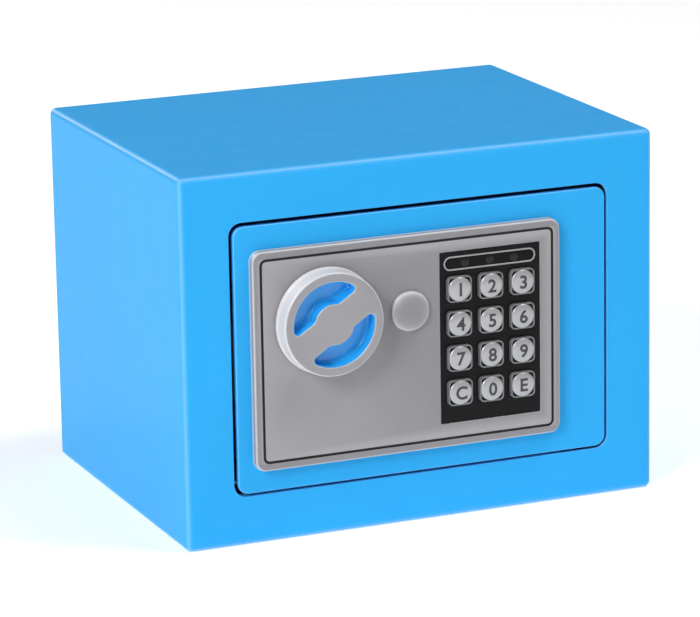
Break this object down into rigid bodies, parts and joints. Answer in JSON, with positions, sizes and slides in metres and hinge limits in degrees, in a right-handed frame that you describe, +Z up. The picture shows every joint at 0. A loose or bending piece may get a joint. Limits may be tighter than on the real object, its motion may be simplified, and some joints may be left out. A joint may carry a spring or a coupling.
{
  "type": "electronic safe coin bank",
  "caption": "Small steel box safe used as a coin bank, with an inset hinged door, keypad lock, turning knob, sliding bolts and an emergency key lock.",
  "frame": {"origin": "middle of the flat underside", "axes": "+X to the right facing the door, +Y from the door to the back, +Z up"},
  "size_m": [0.23, 0.1844, 0.17],
  "materials": {
    "blue_paint": "satin powder coat",
    "grey_plastic": "satin moulded",
    "blue_plastic": "smooth",
    "black_plastic": "smooth",
    "dark_lens": "clear gloss",
    "red_lamp": "smooth",
    "yellow_lamp": "smooth",
    "green_lamp": "smooth",
    "silver_keys": "satin silver lacquer",
    "dark_rubber": "matte",
    "circuit_board": "solder mask",
    "zinc_steel": "zinc plated",
    "black_steel": "blackened",
    "polished_steel": "polished",
    "brass": "machined",
    "coil_tape": "tape",
    "felt": "needle felt",
    "battery_jacket": "shrink sleeve"
  },
  "bodies": {
    "safe_body": {"body_shell": "blue_paint", "back_panel": "blue_paint", "hinge_bracket_top": "blue_paint", "hinge_bracket_bottom": "blue_paint", "door_stop": "dark_rubber", "floor_mat": "felt"},
    "door": {"door_plate": "blue_paint", "hinge_block_top": "blue_paint", "hinge_block_bottom": "blue_paint", "hinge_pin_top": "black_steel", "hinge_pin_bottom": "black_steel", "front_panel": "grey_plastic", "keypad_bezel": "black_plastic", "light_window": "dark_lens", "light_red": "red_lamp", "light_yellow": "yellow_lamp", "light_green": "green_lamp", "keypad_mat": "dark_rubber", "circuit_board": "circuit_board", "buzzer": "black_plastic", "override_lock_barrel": "polished_steel", "override_lock_nut": "zinc_steel", "bolt_guide": "zinc_steel", "solenoid_coil": "coil_tape", "solenoid_spring": "polished_steel", "lock_case": "blue_paint", "case_post_bottom": "zinc_steel", "case_post_top": "zinc_steel", "case_screw_bottom": "zinc_steel", "case_screw_top": "zinc_steel", "battery_tray": "black_plastic", "battery_1": "battery_jacket", "battery_2": "battery_jacket", "battery_3": "battery_jacket", "battery_4": "battery_jacket"},
    "knob": {"knob_body": "grey_plastic", "knob_insert": "blue_plastic", "knob_spindle": "zinc_steel", "crank_arm": "zinc_steel"},
    "bolts": {"bolt_carriage": "zinc_steel", "bolt_lower": "polished_steel", "bolt_upper": "polished_steel"},
    "plunger": {"solenoid_plunger": "zinc_steel"},
    "emergency_cap": {"override_cap": "grey_plastic"},
    "emergency_key_plug": {"override_lock_plug": "brass", "override_cam": "zinc_steel"},
    "battery_door": {"battery_cover": "black_plastic"},
    "reset": {"reset_button": "red_lamp"},
    "key_1_cap": {"key_1": "silver_keys"},
    "key_2_cap": {"key_2": "silver_keys"},
    "key_3_cap": {"key_3": "silver_keys"},
    "key_4_cap": {"key_4": "silver_keys"},
    "key_5_cap": {"key_5": "silver_keys"},
    "key_6_cap": {"key_6": "silver_keys"},
    "key_7_cap": {"key_7": "silver_keys"},
    "key_8_cap": {"key_8": "silver_keys"},
    "key_9_cap": {"key_9": "silver_keys"},
    "key_clear_cap": {"key_clear": "silver_keys"},
    "key_0_cap": {"key_0": "silver_keys"},
    "key_enter_cap": {"key_enter": "silver_keys"}
  },
  "joints": [
    {"name": "door_swing", "type": "hinge", "parent": "safe_body", "child": "door", "pos_m": [0.0789, -0.0795, 0.085], "axis": [0, 0, 1], "range_deg": [0, 100]},
    {"name": "knob_turn", "type": "hinge", "parent": "door", "child": "knob", "pos_m": [-0.0484, -0.085, 0.1004], "axis": [0, -1, 0], "range_deg": [0, 80]},
    {"name": "bolt_slide", "type": "slide", "parent": "door", "child": "bolts", "axis": [-1, 0, 0], "range_m": [0, 0.014]},
    {"name": "plunger_pull", "type": "slide", "parent": "door", "child": "plunger", "axis": [0, 0, -1], "range_m": [0, 0.002], "stiffness_N_per_m": 250, "springref_m": -0.004, "deforming": ["solenoid_spring"]},
    {"name": "emergency_cap_pull", "type": "slide", "parent": "door", "child": "emergency_cap", "axis": [0, -1, 0], "range_m": [0, 0.03]},
    {"name": "emergency_key_turn", "type": "hinge", "parent": "door", "child": "emergency_key_plug", "pos_m": [-0.008, -0.085, 0.0998], "axis": [0, 1, 0], "range_deg": [0, 90]},
    {"name": "battery_cover_pull", "type": "slide", "parent": "door", "child": "battery_door", "axis": [0, 1, 0], "range_m": [0, 0.03]},
    {"name": "reset_press", "type": "slide", "parent": "door", "child": "reset", "axis": [-1, 0, 0], "range_m": [0, 0.0015], "stiffness_N_per_m": 500, "springref_m": -0.0005},
    {"name": "key_1_press", "type": "slide", "parent": "door", "child": "key_1_cap", "axis": [0, 1, 0], "range_m": [0, 0.0012], "stiffness_N_per_m": 600, "springref_m": -0.0005},
    {"name": "key_2_press", "type": "slide", "parent": "door", "child": "key_2_cap", "axis": [0, 1, 0], "range_m": [0, 0.0012], "stiffness_N_per_m": 600, "springref_m": -0.0005},
    {"name": "key_3_press", "type": "slide", "parent": "door", "child": "key_3_cap", "axis": [0, 1, 0], "range_m": [0, 0.0012], "stiffness_N_per_m": 600, "springref_m": -0.0005},
    {"name": "key_4_press", "type": "slide", "parent": "door", "child": "key_4_cap", "axis": [0, 1, 0], "range_m": [0, 0.0012], "stiffness_N_per_m": 600, "springref_m": -0.0005},
    {"name": "key_5_press", "type": "slide", "parent": "door", "child": "key_5_cap", "axis": [0, 1, 0], "range_m": [0, 0.0012], "stiffness_N_per_m": 600, "springref_m": -0.0005},
    {"name": "key_6_press", "type": "slide", "parent": "door", "child": "key_6_cap", "axis": [0, 1, 0], "range_m": [0, 0.0012], "stiffness_N_per_m": 600, "springref_m": -0.0005},
    {"name": "key_7_press", "type": "slide", "parent": "door", "child": "key_7_cap", "axis": [0, 1, 0], "range_m": [0, 0.0012], "stiffness_N_per_m": 600, "springref_m": -0.0005},
    {"name": "key_8_press", "type": "slide", "parent": "door", "child": "key_8_cap", "axis": [0, 1, 0], "range_m": [0, 0.0012], "stiffness_N_per_m": 600, "springref_m": -0.0005},
    {"name": "key_9_press", "type": "slide", "parent": "door", "child": "key_9_cap", "axis": [0, 1, 0], "range_m": [0, 0.0012], "stiffness_N_per_m": 600, "springref_m": -0.0005},
    {"name": "key_clear_press", "type": "slide", "parent": "door", "child": "key_clear_cap", "axis": [0, 1, 0], "range_m": [0, 0.0012], "stiffness_N_per_m": 600, "springref_m": -0.0005},
    {"name": "key_0_press", "type": "slide", "parent": "door", "child": "key_0_cap", "axis": [0, 1, 0], "range_m": [0, 0.0012], "stiffness_N_per_m": 600, "springref_m": -0.0005},
    {"name": "key_enter_press", "type": "slide", "parent": "door", "child": "key_enter_cap", "axis": [0, 1, 0], "range_m": [0, 0.0012], "stiffness_N_per_m": 600, "springref_m": -0.0005}
  ],
  "couplings": [
    {"joint": "knob_turn", "follows": "bolt_slide", "rad_per_m": 99.7}
  ]
}
